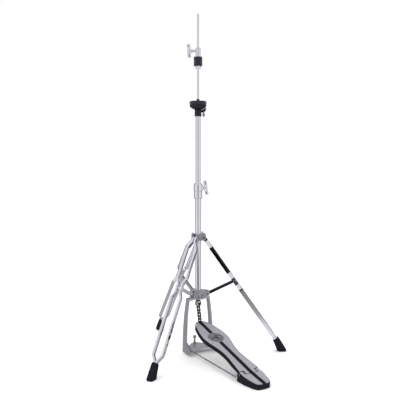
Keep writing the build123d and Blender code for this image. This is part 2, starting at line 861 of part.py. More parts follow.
# Cross plate between the feet of the frame, with a lobe behind it for the spur screw and a toe
# at each end that the frame's pins and the radius rods go through
spur_y = 22.0
plate_z = (11.0, 20.0)
plate_half = arm_foot_x - arm_thickness - 0.15
with BuildPart() as cross_plate:
    with BuildSketch(level(plate_z[0])):
        with BuildLine():
            Polyline((plate_half, -18.0), (plate_half, 10.0), (26.0, 12.0), (12.0, 27.0), (-12.0, 27.0),
                     (-26.0, 12.0), (-plate_half, 10.0), (-plate_half, -18.0), close=True)
        make_face()
        fillet(vertices().group_by(Axis.Y)[1:], 5.0)
    extrude(amount=plate_z[1] - plate_z[0])
    with BuildSketch(level(plate_z[0] - 1)):
        with BuildLine():
            Polyline((40.0, -13.0), (40.0, 5.0), (-40.0, 5.0), (-40.0, -13.0), close=True)
        make_face()
    extrude(amount=4.5, mode=Mode.SUBTRACT)
    with BuildSketch(level(plate_z[0] - 1)):
        with Locations((0, spur_y)):
            Circle(3.0 + running_gap)
    extrude(amount=20, mode=Mode.SUBTRACT)
    for side in (1, -1):
        with BuildSketch(side_plane(plate_half * side)):
            with BuildLine():
                Polyline((-42.0, 9.0), (-31.0, 6.0), (-12.0, 8.0), (-12.0, 19.0), (-34.0, 21.0),
                         (-42.0, 18.0), close=True)
            make_face()
        extrude(amount=-5.5 * side)
    with BuildSketch(side_plane()):
        with Locations(*frame_pin_places):
            Circle(frame_pin_r + snug_gap)
    extrude(amount=60, both=True, mode=Mode.SUBTRACT)
write(cross_plate, "cross_plate")

spur_outline = [
    (0.0, 3.0),
    (1.2, 5.0),
    (3.0, 10.0),
    (3.0, 36.0),
    (3.6, 38.0),
    (6.0, 41.5),
    (6.0, 43.6),
    (4.6, 46.0),
    (0.0, 47.0),
]
with BuildPart() as spur_screw:
    spur_axis = Axis((0, column_y + spur_y, 0), (0, 0, 1))
    revolve(half_section(spur_outline, 0, column_y + spur_y), axis=spur_axis)
write(spur_screw, "spur_screw")

with BuildPart() as spur_nut:
    with BuildSketch(Plane(origin=(0, column_y + spur_y, plate_z[1] + 0.02))):
        RegularPolygon(6.4, 6)
        Circle(3.0 + running_gap, mode=Mode.SUBTRACT)
    extrude(amount=4.0)
write(spur_nut, "spur_nut")

with BuildPart() as frame_pins:
    for side in (1, -1):
        with BuildSketch(side_plane((arm_foot_x - 7.4) * side)):
            with Locations(*frame_pin_places):
                Circle(frame_pin_r)
        extrude(amount=8.0 * side)
write(frame_pins, "frame_pins")

# ---- Heel plate and radius rods -----------------------------------------------------------

heel_slope = tan(radians(9.8))
rod_wire_r = 1.9
ear_front = -269.0
rod_hook = (-274.5, 13.2)
ear_shoulder = -279.0


def heel_top(y):
    """Height of the heel plate's top at a distance from the column."""
    return board_seam[1] + (y - board_seam[0]) * heel_slope


def heel_outline(inset, front):
    """Plan of the heel plate, rounded behind."""
    half = heel_half_width - inset
    end = heel_end + inset
    return [
        (half, front),
        (half + 0.5, -300.0),
        (half - 3.5, -325.0),
        (0.66 * half, end + 5.5),
        (0.0, end),
    ]


with BuildPart() as heel_body:
    with BuildSketch(level(0)):
        with BuildLine():
            right = Spline(*heel_outline(0.0, ear_front), tangents=((0, -1), (-1, 0)))
            Line(right @ 0, (0, ear_front))
            mirror(about=Plane.YZ)
        make_face()
    extrude(amount=32)
    with BuildSketch(side_plane()):
        with BuildLine():
            Polyline((heel_end - 2, 0), (ear_front, 0), (ear_front, 19.6), (ear_shoulder, 20.6),
                     (ear_shoulder, heel_top(ear_shoulder) - 1.5),
                     (heel_end - 2, heel_top(heel_end - 2) - 1.5), close=True)
        make_face()
    extrude(amount=60, both=True, mode=Mode.INTERSECT)
    with BuildSketch(side_plane()):
        with BuildLine():
            Polyline((ear_front + 1, 9.0), (ear_front + 1, 40.0), (-296.0, 40.0), (-296.0, 15.0),
                     (-290.0, 9.0), close=True)
        make_face()
    extrude(amount=tongue_half_width + 1.2, both=True, mode=Mode.SUBTRACT)
    with BuildSketch(side_plane()):
        with Locations(hinge_pin):
            Circle(hinge_pin_r + snug_gap)
    extrude(amount=60, both=True, mode=Mode.SUBTRACT)
    with BuildSketch(side_plane()):
        with Locations(rod_hook):
            Circle(rod_wire_r + 0.1)
    extrude(amount=60, both=True, mode=Mode.SUBTRACT)
    with BuildSketch(level(0)):
        with Locations((0, -318.0)):
            RectangleRounded(44.0, 44.0, 6.0)
    extrude(amount=3.0, mode=Mode.SUBTRACT)
write(heel_body, "heel_body")

with BuildPart() as heel_cap:
    with BuildSketch(level(0)):
        with BuildLine():
            right = Spline(*heel_outline(1.0, ear_shoulder - 1.0), tangents=((0, -1), (-1, 0)))
            Line(right @ 0, (0, ear_shoulder - 1.0))
            mirror(about=Plane.YZ)
        make_face()
        with Locations((0, -270.0)):
            Rectangle(2 * (tongue_half_width + tongue_gap), 52.0, mode=Mode.SUBTRACT)
        with Locations((0, -330.0)):
            Rectangle(13.0, 80.0, mode=Mode.SUBTRACT)
    extrude(amount=40)
    with BuildSketch(side_plane()):
        with BuildLine():
            Polyline((-270.0, heel_top(-270.0) - 1.48), (-270.0, heel_top(-270.0)),
                     (-360.0, heel_top(-360.0)), (-360.0, heel_top(-360.0) - 1.48), close=True)
        make_face()
    extrude(amount=60, both=True, mode=Mode.INTERSECT)
write(heel_cap, "heel_cap")

with BuildPart() as heel_stripe:
    with BuildSketch(side_plane()):
        with BuildLine():
            Polyline((-296.6, heel_top(-296.6) - 1.48), (-296.6, heel_top(-296.6) + 0.2),
                     (-346.0, heel_top(-346.0) + 0.2), (-346.0, heel_top(-346.0) - 1.48), close=True)
        make_face()
    extrude(amount=6.45, both=True)
write(heel_stripe, "heel_stripe")

with BuildPart() as heel_pad:
    with BuildSketch(level(0)):
        with Locations((0, -318.0)):
            RectangleRounded(43.6, 43.6, 5.8)
    extrude(amount=2.98)
write(heel_pad, "heel_pad")

with BuildPart() as hinge_axle:
    with BuildSketch(side_plane()):
        with Locations(hinge_pin):
            Circle(hinge_pin_r)
    extrude(amount=heel_half_width + 0.6, both=True)
write(hinge_axle, "hinge_axle")

with BuildPart() as radius_rods:
    for side in (1, -1):
        with BuildLine() as rod_line:
            FilletPolyline(
                (side * 44.2, column_y - 36.5, 14.5),
                (side * 39.6, column_y - 36.5, 14.5),
                (side * 38.4, column_y - 48.0, 14.4),
                (side * 38.4, column_y - 262.0, 13.4),
                (side * 37.0, column_y + rod_hook[0], rod_hook[1]),
                (side * 22.5, column_y + rod_hook[0], rod_hook[1]),
                radius=2.6,
            )
        start = rod_line.line @ 0
        with BuildSketch(Plane(origin=start, z_dir=rod_line.line % 0)):
            Circle(rod_wire_r)
        sweep(path=rod_line.line)
write(radius_rods, "radius_rods")

# ---- Footboard ----------------------------------------------------------------------------


def board_side(inset):
    """Left edge of the footboard from the shoulder to the toe: (along, sideways)."""
    return [
        (board_tongue, 33.0 - inset),
        (60.0, 28.4 - inset),
        (100.0, 25.6 - inset),
        (142.0, 30.6 - inset),
        (190.0, 41.4 - inset),
        (245.0, 35.4 - inset),
        (284.0, 21.5 - inset),
        (board_length - inset, 0.0),
    ]


def board_plan(inset):
    """Plan of the footboard, drawn in by inset, with the tongue at its heel end."""
    with BuildSketch() as plan:
        with BuildLine():
            left = Spline(*board_side(inset), tangents=((1, -0.1), (0, -1)))
            Line(left @ 0, (board_tongue, 0))
            mirror(about=Plane.XZ)
        make_face()
        with Locations((board_tongue / 2 + 0.5, 0)):
            Rectangle(board_tongue + 1 - inset, 2 * (tongue_half_width - inset))
    return plan.sketch


def board_point(along, depth):
    """Point of the side plane at a distance from the seam and a depth under the footboard's top."""
    return (
        board_seam[0] + along * cos(board_slope) + depth * sin(board_slope),
        board_seam[1] + along * sin(board_slope) - depth * cos(board_slope),
    )


skirt = 2.2
top_wall = 3.4
taper_end = 62.0
with BuildPart() as footboard:
    with BuildSketch(board_plane(-board_thickness)):
        add(board_plan(0.0))
    extrude(amount=board_thickness)
    with BuildSketch(board_plane(-board_thickness)):
        add(board_plan(skirt))
        with Locations((board_length / 2, 0)):
            Rectangle(board_length + 20, 7.0, mode=Mode.SUBTRACT)
        with Locations((145.0, 0), (205.0, 0), (90.0, 0)):
            Rectangle(2.5, 90.0, mode=Mode.SUBTRACT)
        with Locations((280.0, 0)):
            Rectangle(50.0, 26.0, mode=Mode.SUBTRACT)
    extrude(amount=board_thickness - top_wall, mode=Mode.SUBTRACT)
    # the skirt gets lower towards the heel
    with BuildSketch(side_plane()):
        with BuildLine():
            Polyline(board_point(-4.0, board_heel_thickness), board_point(taper_end, board_thickness),
                     board_point(taper_end, board_thickness + 8), board_point(-4.0, board_thickness + 8),
                     close=True)
        make_face()
    extrude(amount=60, both=True, mode=Mode.SUBTRACT)
    with BuildSketch(side_plane()):
        with Locations(hinge_pin):
            Circle(5.4)
        with BuildLine():
            Polyline((-285.0, 22.0), (-284.0, 27.5), (-273.0, 30.0), (-269.0, 26.5), (-276.5, 19.0),
                     close=True)
        make_face()
    extrude(amount=tongue_half_width, both=True)
    with BuildSketch(side_plane()):
        with Locations(hinge_pin):
            Circle(hinge_pin_r + running_gap)
    extrude(amount=60, both=True, mode=Mode.SUBTRACT)
    with BuildSketch(board_plane(-30)):
        with Locations((board_length, 0)):
            Rectangle(28.0, 2 * toe_notch_half_width)
    extrude(amount=60, mode=Mode.SUBTRACT)
    with BuildSketch(board_plane(-board_thickness - 1)):
        with Locations((266.0, 0), (276.0, 0)):
            Circle(2.0 + snug_gap)
    extrude(amount=5, mode=Mode.SUBTRACT)
    # recess for the tread plate
    with BuildSketch(board_plane(-1.5)):
        add(board_plan(1.5))
    extrude(amount=3, mode=Mode.SUBTRACT)
write(footboard, "footboard")

emblem_at = 194.5
emblem_r = 26.5
with BuildPart() as tread_plate:
    with BuildSketch(board_plane(-1.48)):
        add(board_plan(1.7))
        with Locations((board_length / 2, 0)):
            Rectangle(board_length + 20, 13.2, mode=Mode.SUBTRACT)
        with Locations((board_length, 0)):
            Rectangle(28.0, 2 * toe_notch_half_width, mode=Mode.SUBTRACT)
        with Locations((emblem_at, 0)):
            Circle(emblem_r + 0.1, mode=Mode.SUBTRACT)
    extrude(amount=1.48)
write(tread_plate, "tread_plate")

with BuildPart() as board_stripe:
    with BuildSketch(board_plane(-1.48)):
        with Locations((board_length / 2 - 7, 0)):
            Rectangle(board_length - 16, 12.8)
        with Locations((emblem_at, 0)):
            Circle(emblem_r + 0.1, mode=Mode.SUBTRACT)
    extrude(amount=1.7)
write(board_stripe, "board_stripe")

with BuildPart() as board_badge:
    with BuildSketch(board_plane(-1.48)):
        with Locations((emblem_at, 0)):
            Circle(emblem_r)
    extrude(amount=1.5)
    with BuildSketch(board_plane(0.0)):
        with Locations((emblem_at, 0)):
            Circle(emblem_r - 2.0)
            Circle(emblem_r - 3.5, mode=Mode.SUBTRACT)
            Circle(emblem_r - 11.0)
            Circle(emblem_r - 12.5, mode=Mode.SUBTRACT)
    extrude(amount=0.5)
write(board_badge, "board_badge")

# Chain clamp under the toe: a plate held by two screws, with a lug in the last link
anchor_along = chain_links * pitch
anchor_y = chain_top[0] - anchor_along * sin(chain_tilt)
anchor_z = chain_top[1] - anchor_along * cos(chain_tilt)
lug_r = 4.4
lug_along = (anchor_y - board_seam[0]) / cos(board_slope)
lug_depth = board_thickness + 1.5
with BuildPart() as chain_clamp:
    with BuildSketch(board_plane(-board_thickness - 3.0)):
        with Locations((277.0, 0)):
            RectangleRounded(34.0, 13.0, 3.0)
    extrude(amount=2.9)
    with BuildSketch(side_plane()):
        with Locations((anchor_y, anchor_z)):
            Circle(lug_r)
        with BuildLine():
            Polyline((anchor_y - lug_r, anchor_z), (anchor_y + lug_r, anchor_z),
                     board_point(lug_along + lug_r, lug_depth), board_point(lug_along - lug_r, lug_depth),
                     close=True)
        make_face()
    extrude(amount=1.9, both=True)
    with BuildSketch(side_plane()):
        with Locations((anchor_y, anchor_z)):
            Circle(chain_pin_r + 1.0)
    extrude(amount=10, both=True, mode=Mode.SUBTRACT)
    with BuildSketch(board_plane(-board_thickness - 5)):
        with Locations((266.0, 0), (276.0, 0)):
            Circle(2.0 + snug_gap)
    extrude(amount=8, mode=Mode.SUBTRACT)
write(chain_clamp, "chain_clamp")

with BuildPart() as clamp_screws:
    with BuildSketch(board_plane(-board_thickness - 5.2)):
        with Locations((266.0, 0), (276.0, 0)):
            Circle(3.4)
    extrude(amount=2.2)
    with BuildSketch(board_plane(-board_thickness - 3.1)):
        with Locations((266.0, 0), (276.0, 0)):
            Circle(2.0)
    extrude(amount=6.4)
write(clamp_screws, "clamp_screws")
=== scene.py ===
import json
from math import cos, pi, radians, sin, tau

import bmesh
import bpy
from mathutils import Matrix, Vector, noise


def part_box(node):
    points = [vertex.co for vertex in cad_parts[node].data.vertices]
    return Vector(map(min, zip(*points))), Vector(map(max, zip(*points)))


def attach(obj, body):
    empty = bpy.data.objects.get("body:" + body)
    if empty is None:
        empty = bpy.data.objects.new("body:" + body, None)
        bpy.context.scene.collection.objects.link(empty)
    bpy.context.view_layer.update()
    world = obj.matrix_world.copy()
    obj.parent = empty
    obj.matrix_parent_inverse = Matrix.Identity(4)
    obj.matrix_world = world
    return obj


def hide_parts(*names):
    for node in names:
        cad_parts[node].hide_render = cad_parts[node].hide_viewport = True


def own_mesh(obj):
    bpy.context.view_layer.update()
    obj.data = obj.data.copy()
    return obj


# A hi-hat stand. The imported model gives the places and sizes; this file gives it its looks.
# Lengths are in metres unless a comment says mm. Azimuths are in degrees from the X axis.

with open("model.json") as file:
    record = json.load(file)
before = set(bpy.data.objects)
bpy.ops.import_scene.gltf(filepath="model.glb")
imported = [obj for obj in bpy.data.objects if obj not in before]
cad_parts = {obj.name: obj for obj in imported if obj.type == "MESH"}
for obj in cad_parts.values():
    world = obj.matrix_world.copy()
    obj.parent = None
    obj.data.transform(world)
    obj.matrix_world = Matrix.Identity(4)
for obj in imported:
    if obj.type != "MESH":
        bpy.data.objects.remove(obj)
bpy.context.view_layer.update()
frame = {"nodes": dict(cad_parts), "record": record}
nodes = frame["nodes"]

MM = 0.001
UP = Vector((0, 0, 1))
tube_low, tube_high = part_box("lower_tube")
column = (tube_low + tube_high) / 2
column.z = 0.0

# ---- Camera -------------------------------------------------------------------------------

VIEW_AZIMUTH = radians(-30.962)
VIEW_ELEVATION = radians(3.205)
VIEW_DISTANCE = 1.85
VIEW_HEIGHT = 0.54
LENS = 52.05
SENSOR_WIDTH = 36.0
SHIFT_X, SHIFT_Y = 0.0049, -0.0369

towards_camera = Vector((
    sin(VIEW_AZIMUTH) * cos(VIEW_ELEVATION),
    -cos(VIEW_AZIMUTH) * cos(VIEW_ELEVATION),
    sin(VIEW_ELEVATION),
))


def make_camera():
    """Camera in front and on the -X side, a little above the middle of the column."""
    data = bpy.data.cameras.new("camera")
    data.lens = LENS
    data.sensor_width = SENSOR_WIDTH
    data.shift_x, data.shift_y = SHIFT_X, SHIFT_Y
    camera = bpy.data.objects.new("camera", data)
    target = column + UP * VIEW_HEIGHT
    camera.location = target + towards_camera * VIEW_DISTANCE
    camera.rotation_euler = (-towards_camera).to_track_quat("-Z", "Y").to_euler()
    bpy.context.scene.collection.objects.link(camera)
    bpy.context.scene.camera = camera


# ---- Shader helpers -----------------------------------------------------------------------


NOISE_LOW, NOISE_HIGH = 0.3, 0.7  # soft noise hardly leaves this range


class Shader:
    """A material's node tree with short calls for the nodes it needs."""

    def __init__(self, name):
        self.material = bpy.data.materials.new(name)
        self.material.use_nodes = True
        self.tree = self.material.node_tree
        self.surface = self.tree.nodes["Principled BSDF"]
        coordinates = self.tree.nodes.new("ShaderNodeTexCoord")
        self.place = coordinates.outputs["Object"]

    def set(self, **values):
        """Values that are the same all over the surface."""
        for name, value in values.items():
            self.surface.inputs[name.replace("_", " ")].default_value = value

    def noise(self, scale, detail=3.0):
        """Soft noise; scale is in waves per metre."""
        node = self.tree.nodes.new("ShaderNodeTexNoise")
        node.inputs["Scale"].default_value = scale
        node.inputs["Detail"].default_value = detail
        self.tree.links.new(self.place, node.inputs["Vector"])
        return node.outputs["Fac"]

    def cells(self, scale):
        """Distance to the middle of the nearest grain."""
        node = self.tree.nodes.new("ShaderNodeTexVoronoi")
        node.inputs["Scale"].default_value = scale
        self.tree.links.new(self.place, node.inputs["Vector"])
        return node.outputs["Distance"]

    def ramp(self, value, stops):
        """Colour ramp; stops are (position, colour)."""
        node = self.tree.nodes.new("ShaderNodeValToRGB")
        elements = node.color_ramp.elements
        while len(elements) < len(stops):
            elements.new(0.5)
        for element, (position, colour) in zip(elements, stops):
            element.position = position
            element.color = (*colour, 1.0)
        self.tree.links.new(value, node.inputs["Fac"])
        return node.outputs["Color"]

    def colour(self, value, dark, light):
        """Base colour that drifts between two tones."""
        tones = self.ramp(value, [(NOISE_LOW, dark), (NOISE_HIGH, light)])
        self.tree.links.new(tones, self.surface.inputs["Base Color"])

    def roughness(self, value, low, high):
        """Roughness between two values."""
        node = self.tree.nodes.new("ShaderNodeMapRange")
        node.inputs["From Min"].default_value = NOISE_LOW
        node.inputs["From Max"].default_value = NOISE_HIGH
        node.inputs["To Min"].default_value = low
        node.inputs["To Max"].default_value = high
        self.tree.links.new(value, node.inputs["Value"])
        self.tree.links.new(node.outputs["Result"], self.surface.inputs["Roughness"])

    def bump(self, value, depth, strength=1.0):
        """Relief; depth is the height of the texture in mm."""
        node = self.tree.nodes.new("ShaderNodeBump")
        node.inputs["Distance"].default_value = depth * MM
        node.inputs["Strength"].default_value = strength
        self.tree.links.new(value, node.inputs["Height"])
        self.tree.links.new(node.outputs["Normal"], self.surface.inputs["Normal"])


def chrome():
    """Polished plating, a little uneven in tone and gloss."""
    shader = Shader("chrome")
    shader.set(Metallic=1.0)
    shader.colour(shader.noise(14.0), (0.74, 0.733, 0.785), (0.79, 0.783, 0.83))
    shader.roughness(shader.noise(12.0), 0.045, 0.075)
    return shader.material


def zinc_steel():
    """Zinc plated steel for small hardware."""
    shader = Shader("steel")
    shader.set(Metallic=1.0)
    shader.colour(shader.noise(60.0), (0.36, 0.355, 0.39), (0.48, 0.475, 0.51))
    shader.roughness(shader.noise(500.0), 0.18, 0.3)
    return shader.material


def nickel():
    """Warm satin nickel."""
    shader = Shader("nickel")
    shader.set(Metallic=1.0)
    shader.colour(shader.noise(260.0), (0.50, 0.44, 0.38), (0.66, 0.60, 0.54))
    shader.roughness(shader.noise(700.0), 0.2, 0.36)
    shader.bump(shader.noise(2400.0), 0.03)
    return shader.material


def silver_casting():
    """Silver-grey paint over a casting's fine skin."""
    shader = Shader("cast_silver")
    shader.set(Metallic=0.75, Specular_IOR_Level=0.4)
    shader.colour(shader.noise(60.0), (0.35, 0.34, 0.375), (0.42, 0.41, 0.445))
    shader.roughness(shader.noise(800.0), 0.3, 0.42)
    shader.bump(shader.noise(1500.0, 5.0), 0.12, 0.6)
    return shader.material


def blackened_steel():
    """Oiled black steel of the roller chain's plates."""
    shader = Shader("chain_steel")
    shader.set(Metallic=0.9)
    shader.colour(shader.noise(500.0), (0.018, 0.018, 0.022), (0.06, 0.06, 0.07))
    shader.roughness(shader.noise(1200.0), 0.25, 0.42)
    return shader.material


def bright_rollers():
    """Rubbed steel of the roller chain's rollers."""
    shader = Shader("roller_steel")
    shader.set(Metallic=1.0)
    shader.colour(shader.noise(700.0), (0.14, 0.135, 0.14), (0.26, 0.25, 0.255))
    shader.roughness(shader.noise(1500.0), 0.25, 0.38)
    return shader.material


def black_paint():
    """Satin black paint."""
    shader = Shader("black_paint")
    shader.set(Specular_IOR_Level=0.12)
    shader.colour(shader.noise(90.0), (0.006, 0.0055, 0.0100), (0.0105, 0.0098, 0.0155))
    shader.roughness(shader.noise(500.0), 0.5, 0.66)
    shader.bump(shader.noise(2200.0, 4.0), 0.06, 0.5)
    return shader.material


def tread_coat():
    """Silver-grey non-slip coat with a fine grain."""
    shader = Shader("tread")
    shader.set(Metallic=0.25, Specular_IOR_Level=0.3)
    shader.colour(shader.noise(420.0, 6.0), (0.30, 0.29, 0.33), (0.47, 0.46, 0.50))
    shader.roughness(shader.noise(600.0), 0.5, 0.68)
    shader.bump(shader.cells(1100.0), 0.3, 0.7)
    return shader.material


def badge_metal():
    """Grey badge of the footboard."""
    shader = Shader("badge")
    shader.set(Metallic=0.5)
    shader.colour(shader.noise(300.0), (0.27, 0.265, 0.295), (0.40, 0.39, 0.43))
    shader.roughness(shader.noise(700.0), 0.36, 0.5)
    shader.bump(shader.noise(1800.0), 0.08, 0.6)
    return shader.material


def black_plastic():
    """Moulded plastic with a light spark-eroded grain."""
    shader = Shader("black_plastic")
    shader.set(Specular_IOR_Level=0.25)
    shader.colour(shader.noise(150.0), (0.006, 0.0057, 0.0092), (0.013, 0.0123, 0.0185))
    shader.roughness(shader.noise(700.0), 0.36, 0.5)
    shader.bump(shader.cells(2600.0), 0.06, 0.5)
    return shader.material


def wool_felt():
    """Dense dark felt: matted fibres with a soft sheen."""
    shader = Shader("felt")
    shader.set(Specular_IOR_Level=0.15, Sheen_Weight=0.25, Sheen_Roughness=0.5)
    shader.colour(shader.noise(1400.0, 8.0), (0.008, 0.0072, 0.013), (0.032, 0.030, 0.046))
    shader.roughness(shader.noise(900.0), 0.85, 0.98)
    shader.bump(shader.noise(1900.0, 8.0), 0.9, 0.9)
    return shader.material


def moulded_rubber():
    """Black rubber, slightly dusty."""
    shader = Shader("rubber")
    shader.set(Specular_IOR_Level=0.12)
    shader.colour(shader.noise(110.0, 5.0), (0.005, 0.0046, 0.0085), (0.0105, 0.0098, 0.0150))
    shader.roughness(shader.noise(420.0), 0.5, 0.7)
    shader.bump(shader.noise(1600.0, 5.0), 0.12, 0.6)
    return shader.material


MAKERS = {
    "chrome": chrome,
    "steel": zinc_steel,
    "nickel": nickel,
    "cast_silver": silver_casting,
    "chain_steel": blackened_steel,
    "roller_steel": bright_rollers,
    "black_paint": black_paint,
    "tread": tread_coat,
    "badge": badge_metal,
    "black_plastic": black_plastic,
    "felt": wool_felt,
    "rubber": moulded_rubber,
}
materials = {slot: make() for slot, make in MAKERS.items()}


def paint_frame():
    """Every CAD node takes the material of its slot in the record."""
    for part in frame["record"]["subparts"]:
        node = nodes[part["node"]]
        node.data.materials.clear()
        node.data.materials.append(materials[part["material_slot"]])


# ---- Mesh helpers -------------------------------------------------------------------------


def finish_piece(piece_mesh, name, body, slot, replaced=()):
    """Object for a finished mesh: painted, riding on its body, in place of CAD nodes."""
    mesh = bpy.data.meshes.new(name)
    bmesh.ops.remove_doubles(piece_mesh, verts=piece_mesh.verts, dist=0.001 * MM)
    bmesh.ops.recalc_face_normals(piece_mesh, faces=piece_mesh.faces)
    piece_mesh.to_mesh(mesh)
    piece_mesh.free()
    for face in mesh.polygons:
        face.use_smooth = True
    piece = bpy.data.objects.new(name, mesh)
    bpy.context.scene.collection.objects.link(piece)
    mesh.materials.append(materials[slot])
    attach(piece, body)
    if replaced:
        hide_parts(*replaced)
    return piece


def loft(piece_mesh, loops):
    """Closed skin over loops of points, each loop with the same count."""
    rows = [[piece_mesh.verts.new(point) for point in loop] for loop in loops]
    count = len(rows[0])
    for row, after in zip(rows, rows[1:]):
        for index in range(count):
            following = (index + 1) % count
            piece_mesh.faces.new((row[index], row[following], after[following], after[index]))
    piece_mesh.faces.new(reversed(rows[0]))
    piece_mesh.faces.new(rows[-1])


def turned(piece_mesh, origin, axis, side, outline, count, wobble=None):
    """Solid of revolution; the outline is a list of (radius, along), closed on itself."""
    across = axis.cross(side)
    rings = []
    for step in range(count):
        angle = tau * step / count
        direction = side * cos(angle) + across * sin(angle)
        ring = []
        for radius, along in outline:
            point = origin + direction * radius + axis * along
            if wobble:
                point = wobble(point, direction)
            ring.append(piece_mesh.verts.new(point))
        rings.append(ring)
    length = len(outline)
    for step in range(count):
        ring, after = rings[step], rings[(step + 1) % count]
        for index in range(length):
            following = (index + 1) % length
            piece_mesh.faces.new((ring[index], ring[following], after[following], after[index]))


def outward(azimuth):
    """Unit vector pointing away from the column."""
    return Vector((cos(radians(azimuth)), sin(radians(azimuth)), 0))


def rounded_outline(inner, outer, low, high, corner, bulge):
    """Section of a washer with round outer corners and a bulging side."""
    steps = 5
    points = [(inner, low), (outer - corner, low)]
    for step in range(1, steps + 1):
        angle = -pi / 2 + pi / 2 * step / steps
        points.append((outer - corner + corner * cos(angle), low + corner + corner * sin(angle)))
    points.append((outer + bulge, (low + high) / 2))
    for step in range(steps + 1):
        angle = pi / 2 * step / steps
        points.append((outer - corner + corner * cos(angle), high - corner + corner * sin(angle)))
    points.append((inner, high))
    return points


# ---- Felts --------------------------------------------------------------------------------


def felt_washer(name, body, low, high, inner, outer, corner, bulge):
    """Felt washer with uneven, matted faces."""
    fuzz = 0.22 * MM

    def matted(point, direction):
        lump = noise.noise(point * 420.0) + 0.5 * noise.noise(point * 1100.0)
        return point + direction * (fuzz * lump) + UP * (0.4 * fuzz * lump)

    piece_mesh = bmesh.new()
    outline = rounded_outline(inner, outer, low, high, corner, bulge)
    turned(piece_mesh, column, UP, Vector((1, 0, 0)), outline, 120, matted)
    return finish_piece(piece_mesh, name, body, "felt")


def make_felts():
    """Seat felt on its cup, and the clutch's two felts."""
    skin = 0.1 * MM
    low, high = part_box("seat_felt")
    outer = (high.x - low.x) / 2
    seat_felt = felt_washer(
        "seat_felt_washer", "seat", low.z + 2.3 * MM, high.z - skin,
        inner=7.9 * MM, outer=outer - 0.4 * MM, corner=3.2 * MM, bulge=0.3 * MM,
    )
    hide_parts("seat_felt")
    low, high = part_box("clutch_felts")
    outer = (high.x - low.x) / 2
    middle = (low.z + high.z) / 2
    half_gap = 0.05 * MM
    levels = {"lower": (low.z, middle - half_gap), "upper": (middle + half_gap, high.z)}
    for name, (bottom, top) in levels.items():
        felt = felt_washer(
            f"clutch_felt_{name}", "clutch", bottom + skin, top - skin,
            inner=5.5 * MM, outer=outer + 0.1 * MM, corner=1.4 * MM, bulge=0.35 * MM,
        )
        if name == "upper":
            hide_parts("clutch_felts")


# ---- Rubber feet --------------------------------------------------------------------------

LEG_AZIMUTHS = {"front_right": -30.0, "front_left": -150.0, "rear": 90.0}


def make_foot(name, azimuth):
    """Hoof of ribbed rubber, from a collar round the strips to a flat sole.

    Each station is (inner edge, outer edge, half width), the edges as distance and height.
    """
    stations = [
        ((244.6, 36.4), (259.2, 46.6), 7.6),
        ((243.7, 35.0), (260.6, 45.6), 8.9),
        ((245.2, 31.0), (264.6, 41.0), 9.5),
        ((248.2, 24.0), (270.2, 32.4), 10.1),
        ((251.6, 16.0), (277.0, 22.4), 10.7),
        ((254.6, 8.6), (282.8, 12.2), 11.2),
        ((256.4, 3.4), (287.2, 4.4), 11.4),
        ((257.2, 1.2), (287.8, 1.4), 11.3),
        ((259.0, 0.05), (286.6, 0.05), 10.2),
    ]
    count = 72
    ribs = 24
    rib_depth = 0.32
    squareness = 3.2
    along, across = outward(azimuth), outward(azimuth + 90)
    loops = []
    for number, (inner, outer, half_width) in enumerate(stations):
        ribbed = 2 <= number <= 6
        loop = []
        for step in range(count):
            angle = tau * step / count
            u, v = cos(angle), sin(angle)
            # squared ellipse, a little flat on its four sides
            square = (abs(u) ** squareness + abs(v) ** squareness) ** (-1 / squareness)
            if ribbed:
                square *= 1 - rib_depth / half_width * (0.5 - 0.5 * cos(ribs * angle))
            reach = 0.5 + 0.5 * u * square
            distance = inner[0] + (outer[0] - inner[0]) * reach
            height = inner[1] + (outer[1] - inner[1]) * reach
            sideways = v * square * half_width
            loop.append(column + (along * distance + across * sideways + UP * height) * MM)
        loops.append(loop)
    piece_mesh = bmesh.new()
    loft(piece_mesh, loops)
    finish_piece(piece_mesh, f"rubber_{name}", f"leg_{name}", "rubber", [f"foot_{name}"])


# ---- Wing bolts ---------------------------------------------------------------------------


def make_wing_bolt(name, body, azimuth, height, tip, neck, wing, lobe, lean, replaced):
    """Cast wing bolt: two flat lobes that swell into a boss, on a cone and a shank.

    tip, neck and wing are distances from the column's axis, lobe is the reach of each wing, and
    lean is how far the wings' ends stand out or in, all in mm.
    """
    along, across = outward(azimuth), outward(azimuth + 90)
    centre = column + UP * height * MM
    # along the wings: share of the reach, half width, half thickness
    stations = [
        (-1.0, 2.4, 0.8),
        (-0.975, 4.0, 1.3),
        (-0.91, 5.2, 1.7),
        (-0.78, 5.8, 1.9),
        (-0.58, 5.5, 2.0),
        (-0.34, 5.1, 2.6),
        (-0.16, 5.2, 4.2),
        (0.0, 5.4, 5.2),
        (0.16, 5.2, 4.2),
        (0.34, 5.1, 2.6),
        (0.58, 5.5, 2.0),
        (0.78, 5.8, 1.9),
        (0.91, 5.2, 1.7),
        (0.975, 4.0, 1.3),
        (1.0, 2.4, 0.8),
    ]
    count = 20
    loops = []
    for share, half_width, half_thickness in stations:
        lift = lobe * share
        spread = lean * share * min(1.0, 1.6 * abs(share)) + 1.2 * abs(share)
        middle = centre + (along * (wing + spread) + UP * lift) * MM
        loop = []
        for step in range(count):
            angle = tau * step / count
            side = along * (cos(angle) * half_width) + across * (sin(angle) * half_thickness)
            loop.append(middle + side * MM)
        loops.append(loop)
    piece_mesh = bmesh.new()
    loft(piece_mesh, loops)
    shank = 2.9
    outline = [
        (0.01, tip),
        (shank - 0.4, tip),
        (shank, tip + 0.4),
        (shank, neck),
        (shank + 0.5, neck + 0.2),
        (4.9, wing - 5.0),
        (5.4, wing - 3.6),
        (5.4, wing + 1.6),
        (4.8, wing + 3.6),
        (3.0, wing + 4.8),
        (0.01, wing + 5.2),
    ]
    outline = [(radius * MM, reach * MM) for radius, reach in outline]
    turned(piece_mesh, centre, along, UP, outline, 40)
    finish_piece(piece_mesh, name, body, "chrome", [replaced])


